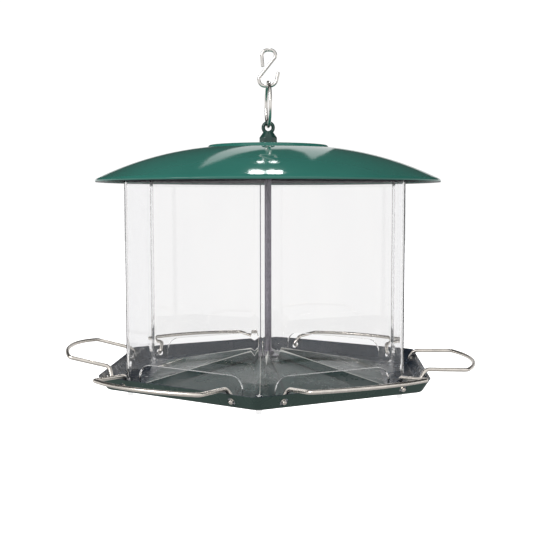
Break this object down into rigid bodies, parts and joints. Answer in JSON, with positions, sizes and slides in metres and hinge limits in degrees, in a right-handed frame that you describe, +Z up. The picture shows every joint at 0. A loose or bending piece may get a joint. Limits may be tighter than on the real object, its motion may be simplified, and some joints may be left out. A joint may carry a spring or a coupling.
{
  "type": "hanging seed feeder",
  "caption": "Hanging hexagonal seed feeder: clear gravity hopper on a stamped tray with fold-up wire perches, a domed roof clamped by an eye knob, a ring and an S-hook.",
  "frame": {"origin": "on the feeder's axis, level with the tips of the hopper's pegs, on which it stands when it is taken down", "axes": "+Z up along the centre rod; -Y towards a corner of the hexagon; +X out of a flat side"},
  "size_m": [0.325, 0.3113, 0.2644],
  "materials": {
    "roof_enamel": "glossy teal-green enamel on sheet steel",
    "tray_enamel": "glossy dark green enamel on sheet steel",
    "knob_enamel": "glossy moulded green plastic",
    "clear_plastic": "clear moulded plastic, polished, with faint flow marks",
    "hanger_steel": "bright drawn steel wire",
    "perch_steel": "bright drawn steel wire with a warm tint",
    "rod_steel": "zinc-plated steel"
  },
  "bodies": {
    "base": {"tray": "tray_enamel", "seed_diverter": "tray_enamel", "hopper": "clear_plastic", "centre_rod": "rod_steel", "diverter_washer": "rod_steel", "diverter_nut": "rod_steel", "base_washer": "rod_steel", "base_nut": "rod_steel"},
    "lid": {"roof": "roof_enamel"},
    "knob": {"eye_knob": "knob_enamel"},
    "ring": {"hanging_ring": "hanger_steel"},
    "hook": {"s_hook": "hanger_steel"},
    "perch_right": {"perch_right": "perch_steel"},
    "perch_back_right": {"perch_back_right": "perch_steel"},
    "perch_back_left": {"perch_back_left": "perch_steel"},
    "perch_left": {"perch_left": "perch_steel"},
    "perch_front_left": {"perch_front_left": "perch_steel"},
    "perch_front_right": {"perch_front_right": "perch_steel"}
  },
  "joints": [
    {"name": "lid_lift", "type": "slide", "parent": "base", "child": "lid", "axis": [0, 0, 1], "range_m": [0, 0.08]},
    {"name": "knob_turn", "type": "hinge", "parent": "lid", "child": "knob", "pos_m": [0, 0, 0.195], "axis": [0, 0, 1], "continuous": true},
    {"name": "ring_swing", "type": "hinge", "parent": "knob", "child": "ring", "pos_m": [0, 0, 0.20365], "axis": [-0.153, 0.9882, 0], "range_deg": [-90, 90]},
    {"name": "hook_swing", "type": "hinge", "parent": "ring", "child": "hook", "pos_m": [0, 0, 0.23525], "axis": [1, 0, 0], "range_deg": [-75, 75]},
    {"name": "perch_right_fold", "type": "hinge", "parent": "base", "child": "perch_right", "pos_m": [0.11883, 0, 0.01086], "axis": [0, -1, 0], "range_deg": [0, 50]},
    {"name": "perch_back_right_fold", "type": "hinge", "parent": "base", "child": "perch_back_right", "pos_m": [0.05941, 0.10291, 0.01086], "axis": [0.866, -0.5, 0], "range_deg": [0, 50]},
    {"name": "perch_back_left_fold", "type": "hinge", "parent": "base", "child": "perch_back_left", "pos_m": [-0.05941, 0.10291, 0.01086], "axis": [0.866, 0.5, 0], "range_deg": [0, 50]},
    {"name": "perch_left_fold", "type": "hinge", "parent": "base", "child": "perch_left", "pos_m": [-0.11883, 0, 0.01086], "axis": [0, 1, 0], "range_deg": [-13, 37]},
    {"name": "perch_front_left_fold", "type": "hinge", "parent": "base", "child": "perch_front_left", "pos_m": [-0.05941, -0.10291, 0.01086], "axis": [-0.866, 0.5, 0], "range_deg": [-2.5, 47.5]},
    {"name": "perch_front_right_fold", "type": "hinge", "parent": "base", "child": "perch_front_right", "pos_m": [0.05941, -0.10291, 0.01086], "axis": [-0.866, -0.5, 0], "range_deg": [-6.5, 43.5]}
  ]
}
